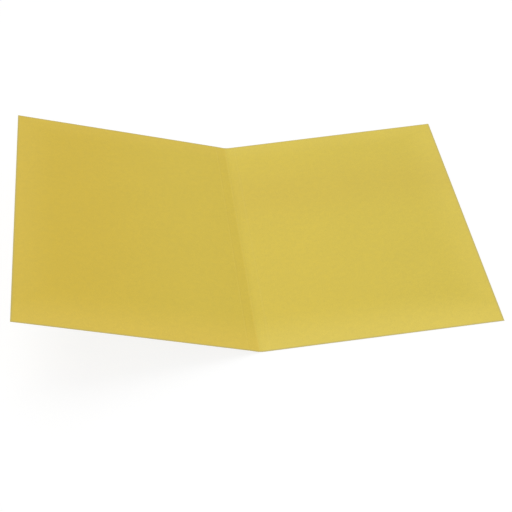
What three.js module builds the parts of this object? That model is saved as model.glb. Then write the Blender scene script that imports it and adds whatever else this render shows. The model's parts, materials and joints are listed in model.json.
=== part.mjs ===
// Manila folder: one sheet of card, creased across its middle, whose front cover folds over its back cover.
// Sizes are in millimetres and angles in degrees. +Z is up and the crease runs along Y.
// The back cover lies flat, inside face up, and the origin is at the middle of its underside.
// The front cover is on the -X side of the crease, lifted a little way from flat open.

import * as THREE from 'three';

// The sheet, cut square
const COVER_WIDTH = 242; // from the middle of the crease to a cover's free edge
const COVER_LENGTH = 349; // along the crease
const CARD = 0.3; // thickness of the card

// Three scores run along the card, each a rib pressed up on the inside with its groove on the outside.
// One runs down the crease. The others let the covers be bent up square around a thick wad of papers.
const SCORE_WIDTH = 1;
const SCORE_HEIGHT = 0.08; // of the rib, and the groove's depth
const SCORE_STEPS = 8; // straight runs along each arc
const SCORE_MARGIN = 0.2; // flat card on either side of the crease's rib
const COVER_SCORE = 11; // from the middle of the crease to the middle of a cover's score

// The card bends along two fold lines, one on each side of the crease's score.
// Each fold line takes a quarter turn when the folder is shut, so that the covers lie parallel.
const FOLD_GAP = 0.3; // between the stretches of card that meet at a fold line
const FOLD_TURN = 90; // of each fold line, from flat to shut
const LIFT = 19.2; // of the front cover, from flat open to how the folder lies

// Inside edges along a fold line are bevelled to half the turn, so that they clear each other when shut.
const BEVEL = (CARD / 2) * Math.tan(THREE.MathUtils.degToRad(FOLD_TURN / 2));

// From fold line to fold line
const CREASE_WIDTH = SCORE_WIDTH + 2 * SCORE_MARGIN + 2 * BEVEL + FOLD_GAP;

const MANILA = { color: 0xd6bf55, roughness: 0.8, metalness: 0 };

function point(x, z) {
  return new THREE.Vector2(x, z);
}

// A stretch of card: an outline in X and Z, with Z = 0 at mid-thickness, drawn out along Y about the middle.
// The extrusion runs along Z, so it is turned to lie along Y.
function cardSolid(name, outline) {
  const shape = new THREE.Shape(outline);
  const geometry = new THREE.ExtrudeGeometry(shape, { depth: COVER_LENGTH, bevelEnabled: false });
  geometry.translate(0, 0, -COVER_LENGTH / 2);
  geometry.rotateX(Math.PI / 2);
  const mesh = new THREE.Mesh(geometry, new THREE.MeshStandardMaterial(MANILA));
  mesh.name = name;
  return mesh;
}

// A shallow arc across a score, from -X to +X, rising SCORE_HEIGHT above its ends at baseZ
function scoreArc(middleX, baseZ) {
  const half = SCORE_WIDTH / 2;
  const radius = (half * half + SCORE_HEIGHT * SCORE_HEIGHT) / (2 * SCORE_HEIGHT);
  const centreZ = baseZ + SCORE_HEIGHT - radius;
  const endAngle = Math.atan2(half, radius - SCORE_HEIGHT);
  const points = [];
  for (let i = 0; i <= SCORE_STEPS; i++) {
    const angle = endAngle * ((2 * i) / SCORE_STEPS - 1);
    points.push(point(middleX + radius * Math.sin(angle), centreZ + radius * Math.cos(angle)));
  }
  return points;
}

// A cover, from its fold line at x = 0 out to its free edge at +X
function cover(name) {
  const foldX = CREASE_WIDTH / 2; // from the middle of the crease to the fold line
  const scoreX = COVER_SCORE - foldX;
  const freeEdge = COVER_WIDTH - foldX;
  return cardSolid(name, [
    point(FOLD_GAP / 2, -CARD / 2),
    ...scoreArc(scoreX, -CARD / 2),
    point(freeEdge, -CARD / 2),
    point(freeEdge, CARD / 2),
    ...scoreArc(scoreX, CARD / 2).reverse(),
    point(FOLD_GAP / 2 + BEVEL, CARD / 2),
    point(FOLD_GAP / 2, 0),
  ]);
}

// The crease strip between the two fold lines, about x = 0
function crease() {
  const nose = (CREASE_WIDTH - FOLD_GAP) / 2;
  return cardSolid('crease', [
    point(-nose, -CARD / 2),
    ...scoreArc(0, -CARD / 2),
    point(nose, -CARD / 2),
    point(nose, 0),
    point(nose - BEVEL, CARD / 2),
    ...scoreArc(0, CARD / 2).reverse(),
    point(BEVEL - nose, CARD / 2),
    point(-nose, 0),
  ]);
}

// A fold line at the card's mid-thickness: what it holds is on its -X side, and lifts as it turns about +Y.
function foldLine(x, z) {
  const fold = new THREE.Group();
  fold.position.set(x, 0, z);
  fold.rotation.y = THREE.MathUtils.degToRad(LIFT / 2);
  return fold;
}

const folder = new THREE.Group();
folder.name = 'manila_folder';

// With the origin in the middle of the back cover, the crease's middle is half a cover's width away.
const backFoldX = (CREASE_WIDTH - COVER_WIDTH) / 2;

const backCover = cover('back_cover');
backCover.position.set(backFoldX, 0, CARD / 2);
folder.add(backCover);

const backFold = foldLine(backFoldX, CARD / 2);
folder.add(backFold);

const creaseStrip = crease();
creaseStrip.position.x = -CREASE_WIDTH / 2;
backFold.add(creaseStrip);

const frontFold = foldLine(-CREASE_WIDTH, 0);
backFold.add(frontFold);

const frontCover = cover('front_cover');
frontCover.rotation.z = Math.PI;
frontFold.add(frontCover);

export default folder;
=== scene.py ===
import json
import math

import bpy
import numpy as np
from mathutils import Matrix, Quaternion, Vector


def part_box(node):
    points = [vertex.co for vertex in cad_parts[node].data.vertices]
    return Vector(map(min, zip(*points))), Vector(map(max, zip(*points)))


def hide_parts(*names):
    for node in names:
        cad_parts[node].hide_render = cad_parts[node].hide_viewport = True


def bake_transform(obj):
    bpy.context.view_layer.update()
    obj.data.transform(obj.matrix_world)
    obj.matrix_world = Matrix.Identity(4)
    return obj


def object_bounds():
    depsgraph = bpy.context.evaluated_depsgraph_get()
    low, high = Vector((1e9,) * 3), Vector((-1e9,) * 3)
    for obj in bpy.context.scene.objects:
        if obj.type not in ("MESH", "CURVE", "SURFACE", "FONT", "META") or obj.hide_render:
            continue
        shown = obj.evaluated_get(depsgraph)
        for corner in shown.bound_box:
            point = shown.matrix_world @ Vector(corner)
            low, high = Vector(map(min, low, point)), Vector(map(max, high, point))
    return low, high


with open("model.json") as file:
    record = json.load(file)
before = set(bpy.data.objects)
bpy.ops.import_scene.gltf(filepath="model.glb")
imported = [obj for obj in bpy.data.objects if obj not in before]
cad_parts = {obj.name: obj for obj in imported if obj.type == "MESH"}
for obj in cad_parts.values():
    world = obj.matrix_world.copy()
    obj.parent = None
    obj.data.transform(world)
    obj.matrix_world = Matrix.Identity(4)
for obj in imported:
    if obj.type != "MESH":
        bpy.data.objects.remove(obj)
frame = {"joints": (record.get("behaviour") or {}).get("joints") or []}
cad_low, cad_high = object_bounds()

# The looks of a plain folder of yellow card, open, with its front cover lifted a little.
# All sizes are in metres. The sheet of card is built flat, in coordinates of its own, and then folded.
# Its coordinates are across, from the middle of the crease with the back cover on the + side,
# along, which is the folder's Y, and up, from the card's mid-thickness towards the inside.

# The fold lines, and the sizes that follow from them and from the covers
FOLDS = {joint["name"]: Vector(joint["pos_m"]) for joint in frame["joints"]}
BACK_FOLD = FOLDS["back_fold_line"]
FRONT_FOLD = FOLDS["front_fold_line"]
BACK_LOW, BACK_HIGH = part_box("back_cover")

CARD = 2 * (BACK_FOLD.z - BACK_LOW.z)  # thickness of the card
CREASE_WIDTH = (BACK_FOLD - FRONT_FOLD).length  # from fold line to fold line
HALF_LIFT = math.atan2(FRONT_FOLD.z - BACK_FOLD.z, BACK_FOLD.x - FRONT_FOLD.x)  # taken by each fold line
COVER_WIDTH = BACK_HIGH.x - BACK_FOLD.x + CREASE_WIDTH / 2  # from the middle of the crease to the free edge
HALF_LENGTH = (BACK_HIGH.y - BACK_LOW.y) / 2
SCORE_HEIGHT = BACK_HIGH.z - BACK_LOW.z - CARD  # of the ribs, which are the highest part of the back cover

# The card's own shape
CREASE_SCORE_WIDTH = 0.0016
COVER_SCORE_WIDTH = 0.0022
COVER_SCORE = 0.011  # from the middle of the crease to the middle of a cover's score
BEND_IN = 0.0009  # at rest the card bends this far from each fold line into the crease,
BACK_BEND, FRONT_BEND = 0.005, 0.0016  # and this far out into the covers
HINGE = 0.00045  # where it moves, it bends within this distance of a fold line
SPRUNG = math.radians(1.3)  # the front cover leans in more steeply by this, from the crease to its score
EDGE_ROUND = 0.00011  # radius left by the cut along the edges
WAVE = 0.00008  # height of the covers' slow waves
WAVE_FREE = (0.004, 0.07)  # the waves start and are full at these distances from the crease
WAVE_TRAINS = ((0.33, 0.47, 1.0), (0.21, -0.26, 2.3))  # length across, length along, and phase

# Spacing and shading of the mesh
CELL = 0.005
FINE = 0.0001  # across a hinge or a score
BEND_CELL = 2 * FINE  # across the bend at rest
STRIP_CELL = 15 * FINE  # between the bend and a cover's score
AFTER_SCORE, AFTER_SCORE_CELL = 0.001, 5 * FINE  # width of a strip beyond a cover's score, and its spacing
NEAR_CELL = 25 * FINE  # from there out to twice the score's distance
EDGE_STRIP, EDGE_CELL = 0.0005, 0.0002  # width of a strip along a cut edge, and its spacing
EDGE_ROUND_CELLS = 4
PROFILE_STEPS = 20000
SHARP = math.radians(40)  # angle between faces from which an edge is shaded sharp


def smoothstep(low, high, value):
    share = np.clip((value - low) / (high - low), 0, 1)
    return share * share * (3 - 2 * share)


def rib(distance, width):
    """Height of a pressed rib, at a distance across from its middle."""
    share = np.clip(np.abs(distance) / (width / 2), 0, 1)
    return SCORE_HEIGHT * (1 + np.cos(math.pi * share)) / 2


def climb(from_crease):
    """How high the steeper card beside the crease has climbed."""
    return math.tan(SPRUNG) * (np.hypot(from_crease, BEND_IN) - BEND_IN)


def sprung(across):
    """Height of the front cover above the plane of a sharp fold, which is nothing at both its edges."""
    from_crease = np.maximum(-across, 0)
    sinking = (COVER_WIDTH - from_crease) / (COVER_WIDTH - COVER_SCORE)
    return np.where(from_crease < COVER_SCORE, climb(from_crease), climb(COVER_SCORE) * sinking)


def waves(across, along):
    """The slow waves of a sheet that has been handled, from 0 to WAVE. They die out towards the crease."""
    trains = [
        np.sin(2 * math.pi * (across / length_across + along / length_along) + phase)
        for length_across, length_along, phase in WAVE_TRAINS
    ]
    height = WAVE * (len(trains) + sum(trains)) / (2 * len(trains))
    return height * smoothstep(*WAVE_FREE, np.abs(across))


def half_thickness(edge_distance):
    """Half the card's thickness, which is rounded off towards its cut edges."""
    short = np.clip(EDGE_ROUND - edge_distance, 0, EDGE_ROUND)
    return CARD / 2 - EDGE_ROUND + np.sqrt(EDGE_ROUND ** 2 - short ** 2)


def turned(across):
    """How far the card has turned out of the back cover's plane, at places across the sheet."""
    outer = CREASE_WIDTH / 2 + np.where(across > 0, BACK_BEND, FRONT_BEND)
    share = smoothstep(outer, CREASE_WIDTH / 2 - BEND_IN, np.abs(across))
    return HALF_LIFT * np.where(across > 0, share, 2 - share)


def profile():
    """The folded card's middle line: places across the sheet, and where they come to lie in X and Z."""
    places = np.linspace(COVER_WIDTH, -COVER_WIDTH, PROFILE_STEPS + 1)
    step = 2 * COVER_WIDTH / PROFILE_STEPS
    angle = turned((places[1:] + places[:-1]) / 2)
    x = BACK_HIGH.x - np.concatenate([[0], np.cumsum(step * np.cos(angle))])
    z = BACK_FOLD.z + np.concatenate([[0], np.cumsum(step * np.sin(angle))])
    return places[::-1], x[::-1], z[::-1]


def fold(across, along, up):
    """Where points of the flat sheet come to lie once it is folded."""
    places, x, z = profile()
    angle = turned(across)
    x = np.interp(across, places, x) + up * np.sin(angle)
    z = np.interp(across, places, z) + up * np.cos(angle)
    return np.stack([x, along, z], -1)


def steps_between(stops):
    """Places from the first stop to the last, where each stop gives its place and the spacing up to it."""
    places = [stops[0][0]]
    for place, spacing in stops[1:]:
        count = max(1, round((place - places[-1]) / spacing))
        places += list(np.linspace(places[-1], place, count + 1)[1:])
    return np.array(places)


def edge_stops(edge):
    """The last few places before a cut edge, where the card is rounded off."""
    rounded = (edge, EDGE_ROUND / EDGE_ROUND_CELLS)
    return [(edge - EDGE_STRIP, CELL), (edge - EDGE_ROUND, EDGE_CELL), rounded]


def columns():
    """Places across a cover, from the middle of the crease to the free edge."""
    hinge_end = CREASE_WIDTH / 2 + HINGE
    bend_end = CREASE_WIDTH / 2 + BACK_BEND
    score_start, score_end = COVER_SCORE - COVER_SCORE_WIDTH / 2, COVER_SCORE + COVER_SCORE_WIDTH / 2
    return steps_between([
        (0, 0), (FINE, FINE / 2), (hinge_end, FINE), (bend_end, BEND_CELL),
        (score_start, STRIP_CELL), (score_end, FINE), (score_end + AFTER_SCORE, AFTER_SCORE_CELL),
        (2 * COVER_SCORE, NEAR_CELL), *edge_stops(COVER_WIDTH),
    ])


def rows():
    """Places along the folder, from end to end."""
    half = steps_between([(0, 0), *edge_stops(HALF_LENGTH)])
    return np.concatenate([-half[:0:-1], half])


def folder_half(name, side):
    """One cover with its half of the crease, as a closed shell. Side is 1 for back and -1 for front."""
    across, along = (grid.T for grid in np.meshgrid(side * columns(), rows()))
    edge_distance = np.minimum(COVER_WIDTH - np.abs(across), HALF_LENGTH - np.abs(along))
    ribs = rib(across, CREASE_SCORE_WIDTH) + rib(np.abs(across) - COVER_SCORE, COVER_SCORE_WIDTH)
    middle = ribs + sprung(across) + waves(across, along)
    thick = half_thickness(edge_distance)
    flat = [np.stack([across, along, middle + face * thick], -1).reshape(-1, 3) for face in (1, -1)]
    sheet = np.concatenate(flat)

    wide, long = across.shape
    index = np.arange(wide * long).reshape(wide, long)
    under = index + wide * long
    quads = []
    for a in range(wide - 1):
        for b in range(long - 1):
            quad = (index[a, b], index[a + 1, b], index[a + 1, b + 1], index[a, b + 1])
            quads += [quad, tuple(under.flat[i] for i in reversed(quad))]
    rim = [*index[:, 0], *index[-1, 1:], *index[-2::-1, -1], *index[0, -2:0:-1]]
    for start, end in zip(rim, rim[1:] + rim[:1]):
        quads.append((end, start, under.flat[start], under.flat[end]))
    if side < 0:
        quads = [quad[::-1] for quad in quads]

    mesh = bpy.data.meshes.new(name)
    mesh.from_pydata(fold(*sheet.T).tolist(), [], [[int(i) for i in quad] for quad in quads])
    mesh.attributes.new("sheet", "FLOAT_VECTOR", "POINT").data.foreach_set("vector", sheet.ravel())
    mesh.shade_smooth()
    mesh.set_sharp_from_angle(angle=SHARP)
    mesh.validate()
    half = bpy.data.objects.new(name, mesh)
    bpy.context.scene.collection.objects.link(half)
    return half


# The camera, fitted to the folder's outline in the photograph
CAMERA_TARGET = Vector((-0.10795, -0.02811, 0))  # the point of the table in the middle of the picture
CAMERA_DISTANCE = 1.4141
CAMERA_AZIMUTH = 3.442  # degrees, as are the next two
CAMERA_ELEVATION = 39.638
CAMERA_ROLL = -4.991
LENS, SENSOR = 94.05, 36  # millimetres


def add_camera():
    azimuth, elevation = math.radians(CAMERA_AZIMUTH), math.radians(CAMERA_ELEVATION)
    level = Vector((math.sin(azimuth), math.cos(azimuth), 0)) * math.cos(elevation)
    looking = level - Vector((0, 0, math.sin(elevation)))
    data = bpy.data.cameras.new("camera")
    data.lens, data.sensor_width = LENS, SENSOR
    camera = bpy.data.objects.new("camera", data)
    camera.location = CAMERA_TARGET - looking * CAMERA_DISTANCE
    camera.rotation_mode = "QUATERNION"
    roll = Quaternion((0, 0, 1), math.radians(CAMERA_ROLL))
    camera.rotation_quaternion = looking.to_track_quat("-Z", "Y") @ roll
    bpy.context.scene.collection.objects.link(camera)
    bpy.context.scene.camera = camera


# The light
LAMP_FROM = Vector((-0.22, 0.5, 1))  # the lamp is far off in this direction
LAMP_SPREAD = 50  # degrees across, as seen from the folder
LAMP = 0.525 * math.pi  # strength of 1 x pi shows a white surface as white
SKY = 0.53  # of the white surroundings, as light on the folder

# The floor
FLOOR_DROP = 0.0003  # under the card
FLOOR_SIZE = 12
FLOOR_COLOUR = 0.85
FLOOR_WHITE, FLOOR_WHITE_SHARE = 1.04, 0.84  # the rest of what is seen of it is lit, and holds the shadow


class Nodes:
    """Short ways to add and link the shader nodes of one tree."""

    def __init__(self, tree):
        self.tree = tree
        tree.nodes.clear()

    def add(self, kind, inputs=None, **settings):
        node = self.tree.nodes.new("ShaderNode" + kind)
        for key, value in settings.items():
            setattr(node, key, value)
        for key, value in (inputs or {}).items():
            socket = node.inputs[key]
            if isinstance(value, bpy.types.NodeSocket):
                self.tree.links.new(value, socket)
            else:
                socket.default_value = value
        return node

    def math(self, operation, *values):
        return self.add("Math", dict(enumerate(values)), operation=operation).outputs[0]

    def add_scaled(self, total, value, factor):
        return self.math("MULTIPLY_ADD", value, factor, total)

    def smooth(self, value, low, high, out_low=0.0, out_high=1.0):
        inputs = {"Value": value, "From Min": low, "From Max": high, "To Min": out_low, "To Max": out_high}
        return self.add("MapRange", inputs, interpolation_type="SMOOTHSTEP").outputs[0]

    def vector(self, operation, first, second):
        return self.add("VectorMath", {0: first, 1: second}, operation=operation).outputs[0]

    def noise(self, vector, size, detail=1, roughness=0.5, colour=False):
        inputs = {"Vector": vector, "Scale": 1 / size, "Detail": detail, "Roughness": roughness}
        return self.add("TexNoise", inputs).outputs["Color" if colour else 0]

    def mix(self, share, first, second):
        node = self.add("Mix", data_type="RGBA")
        for key, value in (("Factor_Float", share), ("A_Color", first), ("B_Color", second)):
            socket = next(i for i in node.inputs if i.identifier == key)
            if isinstance(value, bpy.types.NodeSocket):
                self.tree.links.new(value, socket)
            else:
                socket.default_value = value
        return next(o for o in node.outputs if o.identifier == "Result_Color")

    def seen(self):
        """1 for rays that show the background: straight to the camera, mirrored or through glass."""
        path = self.add("LightPath").outputs
        shown = self.math("MAXIMUM", path["Is Camera Ray"], path["Is Glossy Ray"])
        return self.math("MAXIMUM", shown, path["Is Transmission Ray"])


def add_light():
    data = bpy.data.lights.new("lamp", "SUN")
    data.energy, data.angle = LAMP, math.radians(LAMP_SPREAD)
    lamp = bpy.data.objects.new("lamp", data)
    lamp.rotation_mode = "QUATERNION"
    lamp.rotation_quaternion = (-LAMP_FROM).to_track_quat("-Z", "Y")
    bpy.context.scene.collection.objects.link(lamp)

    world = bpy.data.worlds.new("surroundings")
    bpy.context.scene.world = world
    world.use_nodes = True
    nodes = Nodes(world.node_tree)
    strength = nodes.smooth(nodes.seen(), 0, 1, SKY, 1.0)
    background = nodes.add("Background", {"Color": (1, 1, 1, 1), "Strength": strength})
    nodes.add("OutputWorld", {"Surface": background.outputs[0]})


def add_floor():
    mesh = bpy.data.meshes.new("floor")
    reach = FLOOR_SIZE / 2
    corners = [(-reach, -reach), (reach, -reach), (reach, reach), (-reach, reach)]
    mesh.from_pydata([(x, y, cad_low.z - FLOOR_DROP) for x, y in corners], [], [(0, 1, 2, 3)])
    floor = bpy.data.objects.new("floor", mesh)
    bpy.context.scene.collection.objects.link(floor)

    material = bpy.data.materials.new("floor")
    material.use_nodes = True
    nodes = Nodes(material.node_tree)
    grey = (FLOOR_COLOUR,) * 3 + (1,)
    matte = nodes.add("BsdfDiffuse", {"Color": grey}).outputs[0]
    white = nodes.add("Emission", {"Color": (1, 1, 1, 1), "Strength": FLOOR_WHITE}).outputs[0]
    share = nodes.math("MULTIPLY", nodes.seen(), FLOOR_WHITE_SHARE)
    mixed = nodes.add("MixShader", {0: share, 1: matte, 2: white}).outputs[0]
    nodes.add("OutputMaterial", {"Surface": mixed})
    mesh.materials.append(material)


# The card's colours
MANILA = (0.643, 0.485, 0.046, 1)
SHADED_OUTER_FRONT = (0.636, 0.458, 0.035, 1)  # painted shade: darker out towards the free edges, standing in for light falling off away from the crease
SHADED_OUTER_BACK = (0.623, 0.476, 0.046, 1)
EDGE_LIGHT_FRONT = (0.715, 0.522, 0.066, 1)  # painted light: paler towards the cut edges and the near end, standing in for brighter light and sheen there
EDGE_LIGHT_BACK = (0.694, 0.534, 0.071, 1)
RUBBED_AND_SHADED = (0.455, 0.388, 0.128, 1)  # darker, greyer along the cut edges: partly wear from fingers, partly painted shade of the edge
CORE = (0.62, 0.52, 0.16, 1)  # raw fibre in the cut edge
SHIVE = (0.36, 0.24, 0.04, 1)  # bits of bark and darker fibre

# Where the painted shade towards the free edges starts and is full, from the crease
OUTER_SHADE_FROM, OUTER_SHADE_TO = 0.04, 0.19

# Painted light, paler towards the edges: reach in from an edge, and how much. The front cover has less of
# it.
SIDE_EDGE_LIGHT = (0.045, 0.5)
FAR_EDGE_LIGHT = (0.035, 0.5)
NEAR_EDGE_LIGHT = (0.06, 1.0)
FRONT_EDGE_LIGHT = 0.7

# A band of painted shade across the back cover, with a paler painted tint beside it: its middle along the
# folder, its reach, and the tints in and beside it
SHADE_BAND_AT, SHADE_BAND_REACH = 0.075, 0.07
SHADE_BAND, BESIDE_SHADE_BAND = (0.968, 0.967, 0.976, 1), (0.993, 1.008, 1.02, 1)

# Along the cut edges: how far in the card is rubbed and painted darker with edge shade, and how far its raw
# core shows
RUB_AND_SHADE_REACH = 0.0026
CUT_REACH = 0.00012
RUB_AND_SHADE_FORMATION, RUB_AND_SHADE_SHARE = (0.2, 0.7), (0.3, 0.8)  # levels of the formation, and how much is rubbed and shaded at each

# Sizes of the card's grain, and how much each changes its brightness
CLOUDS = (0.05, 0.04)  # slow patches
FORMATION = (0.0065, 0.12)  # unevenly spread fibre
FIBRE_WIDTH, FIBRE_LENGTH = 0.00012, 0.0022
FIBRE_CURL, FIBRE_CURL_SIZE = 0.0007, 0.003  # how far the fibres wander, and over what distance
FIBRE_TURNS = ((8, 0.05), (-38, 0.04), (64, 0.03))  # most lie near the folder's length: degrees, and change
FIBRE_LIGHT, FIBRE_DARK = (0.54, 0.68), (0.46, 0.32)  # levels of the noise that stand for single fibres
TOOTH = 0.00035  # size of the pits between fibres
FORMATION_DETAIL, TOOTH_DETAIL = 4, 3  # times that each is repeated at half the size,
DETAIL_SHARE = 0.6  # with this share of the strength

# Bits of bark, of which there is one in about a third of the cells
SHIVE_CELL, SHIVE_SIZE, SHIVE_SLENDER = 0.0045, 0.00022, 5
SHIVE_LEAST = 0.65
SHIVE_DEPTH = 0.5
SHIVE_FADE = 2.5  # a bit has faded out at this many times its size

# Height of the card's relief
TOOTH_HEIGHT, FIBRE_HEIGHT, FORMATION_HEIGHT = 0.000009, 0.000005, 0.000016

# Finish
ROUGHNESS, ROUGHNESS_SPREAD = 0.7, 0.12
POLISH = 0.07  # less rough where the scoring rule pressed
CUT_ROUGHNESS = 0.15  # rougher where the card is cut
PRESSED_IN, PRESSED_OUT = (0.0001, 0.0004), (0.0006, 0.001)  # the rule's mark, from the middle of a score
PRESSED_DARKER = 0.012


def fibre_streaks(nodes, sheet, turn):
    """Fibres of one direction, about 1 on the lightest, -1 on the darkest and 0 between them."""
    size = (FIBRE_WIDTH, FIBRE_LENGTH, FIBRE_WIDTH)
    turned_so = {"Vector": sheet, "Rotation": (0, 0, math.radians(turn)), "Scale": size}
    streaks = nodes.noise(nodes.add("Mapping", turned_so, vector_type="TEXTURE").outputs[0], 1)
    light, dark = nodes.smooth(streaks, *FIBRE_LIGHT), nodes.smooth(streaks, *FIBRE_DARK)
    return nodes.math("SUBTRACT", light, dark)


def card_grain(nodes, sheet, curled, formation):
    """The card's grain, as brightness about 1 and as height."""
    brightness = 1.0
    for pattern, amount in ((nodes.noise(sheet, CLOUDS[0]), CLOUDS[1]), (formation, FORMATION[1])):
        change = nodes.math("SUBTRACT", pattern, 0.5)
        brightness = nodes.add_scaled(brightness, change, amount)
    height = nodes.math("MULTIPLY", formation, FORMATION_HEIGHT)
    height = nodes.add_scaled(height, nodes.noise(sheet, TOOTH, TOOTH_DETAIL, DETAIL_SHARE), TOOTH_HEIGHT)
    for turn, amount in FIBRE_TURNS:
        streaks = fibre_streaks(nodes, curled, turn)
        brightness = nodes.add_scaled(brightness, streaks, amount)
        height = nodes.add_scaled(height, streaks, FIBRE_HEIGHT)
    return brightness, height


def shives(nodes, curled):
    """Where the bits of bark and darker fibre are, and how dark."""
    slender = nodes.vector("MULTIPLY", curled, (SHIVE_SLENDER, 1, 1))
    cells = nodes.add("TexVoronoi", {"Vector": slender, "Scale": 1 / SHIVE_CELL}).outputs
    chance = nodes.add("SeparateColor", {0: cells["Color"]}).outputs[0]
    shown = nodes.math("GREATER_THAN", chance, SHIVE_LEAST)
    size = SHIVE_SIZE / SHIVE_CELL
    near = nodes.smooth(cells["Distance"], size, SHIVE_FADE * size, SHIVE_DEPTH, 0)
    return nodes.math("MULTIPLY", shown, near)


def pressed_by_rule(nodes, from_crease):
    """1 on the flanks of each score, where the scoring rule has pressed the card."""
    beside = nodes.math("ABSOLUTE", nodes.math("SUBTRACT", from_crease, COVER_SCORE))
    from_score = nodes.math("MINIMUM", beside, from_crease)
    inner, outer = nodes.smooth(from_score, *PRESSED_IN), nodes.smooth(from_score, *PRESSED_OUT, 1, 0)
    return nodes.math("MULTIPLY", inner, outer)


def card_material():
    material = bpy.data.materials.new("manila_card")
    material.use_nodes = True
    nodes = Nodes(material.node_tree)
    sheet = nodes.add("Attribute", attribute_name="sheet").outputs["Vector"]
    across, along, _ = nodes.add("SeparateXYZ", {0: sheet}).outputs
    from_crease = nodes.math("ABSOLUTE", across)
    from_side = nodes.math("SUBTRACT", COVER_WIDTH, from_crease)
    from_near = nodes.math("ADD", HALF_LENGTH, along)
    from_far = nodes.math("SUBTRACT", HALF_LENGTH, along)
    from_edge = nodes.math("MINIMUM", from_side, nodes.math("MINIMUM", from_near, from_far))

    wander = nodes.noise(sheet, FIBRE_CURL_SIZE, colour=True)
    wander = nodes.vector("SUBTRACT", wander, (0.5, 0.5, 0.5))
    curled = nodes.vector("ADD", sheet, nodes.vector("MULTIPLY", wander, (FIBRE_CURL, FIBRE_CURL, 0)))
    formation = nodes.noise(sheet, FORMATION[0], FORMATION_DETAIL, DETAIL_SHARE)
    grain, height = card_grain(nodes, sheet, curled, formation)

    # Painted shade towards the free edges, and painted light towards the cut edges
    on_back = nodes.smooth(across, -CREASE_WIDTH / 2, CREASE_WIDTH / 2)
    # Painted shade: darker towards the free edges
    outer_shade = nodes.mix(on_back, SHADED_OUTER_FRONT, SHADED_OUTER_BACK)
    colour = nodes.mix(nodes.smooth(from_crease, OUTER_SHADE_FROM, OUTER_SHADE_TO), MANILA, outer_shade)
    # Painted light: paler towards the cut edges, most at the near end
    edge_light = 0.0
    for distance, (reach, amount) in ((from_side, SIDE_EDGE_LIGHT), (from_far, FAR_EDGE_LIGHT), (from_near, NEAR_EDGE_LIGHT)):
        edge_light = nodes.math("MAXIMUM", edge_light, nodes.smooth(distance, 0, reach, amount, 0))
    edge_light = nodes.math("MULTIPLY", edge_light, nodes.smooth(on_back, 0, 1, FRONT_EDGE_LIGHT, 1))
    colour = nodes.mix(edge_light, colour, nodes.mix(on_back, EDGE_LIGHT_FRONT, EDGE_LIGHT_BACK))
    # Painted shade: a darker band across the back cover, with a paler tint beside it
    from_shade_band = nodes.math("ABSOLUTE", nodes.math("SUBTRACT", along, SHADE_BAND_AT))
    band_shade_tint = nodes.mix(nodes.smooth(from_shade_band, 0, SHADE_BAND_REACH), SHADE_BAND, BESIDE_SHADE_BAND)
    colour = nodes.vector("MULTIPLY", colour, nodes.mix(on_back, (1, 1, 1, 1), band_shade_tint))

    # Rubbed edges with painted edge shade, more so where the fibre lies thick
    patches = nodes.smooth(formation, *RUB_AND_SHADE_FORMATION, *RUB_AND_SHADE_SHARE)
    rubbed_and_shaded = nodes.math("MULTIPLY", nodes.smooth(from_edge, 0, RUB_AND_SHADE_REACH, 1, 0), patches)
    colour = nodes.mix(rubbed_and_shaded, colour, RUBBED_AND_SHADED)

    colour = nodes.mix(shives(nodes, curled), colour, SHIVE)
    pressed = pressed_by_rule(nodes, from_crease)
    grain = nodes.math("MULTIPLY", grain, nodes.smooth(pressed, 0, 1, 1, 1 - PRESSED_DARKER))
    colour = nodes.vector("MULTIPLY", colour, grain)
    cut = nodes.smooth(from_edge, CUT_REACH / 2, CUT_REACH, 1, 0)
    colour = nodes.mix(cut, colour, CORE)

    rough = nodes.add_scaled(ROUGHNESS, nodes.math("SUBTRACT", formation, 0.5), ROUGHNESS_SPREAD)
    rough = nodes.add_scaled(rough, pressed, -POLISH)
    rough = nodes.add_scaled(rough, cut, CUT_ROUGHNESS)

    bump = nodes.add("Bump", {"Height": height, "Distance": 1.0, "Strength": 1.0}).outputs[0]
    shader = nodes.add("BsdfPrincipled", {"Base Color": colour, "Roughness": rough, "Normal": bump})
    nodes.add("OutputMaterial", {"Surface": shader.outputs[0]})
    return material


add_camera()
add_light()
add_floor()

card = card_material()

back_half = folder_half("back_half", 1)
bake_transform(back_half)
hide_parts("back_cover", "crease")

front_half = folder_half("front_half", -1)
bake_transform(front_half)
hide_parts("front_cover", "crease")

for half in (back_half, front_half):
    half.data.materials.append(card)

bpy.context.scene.view_settings.view_transform = "Standard"
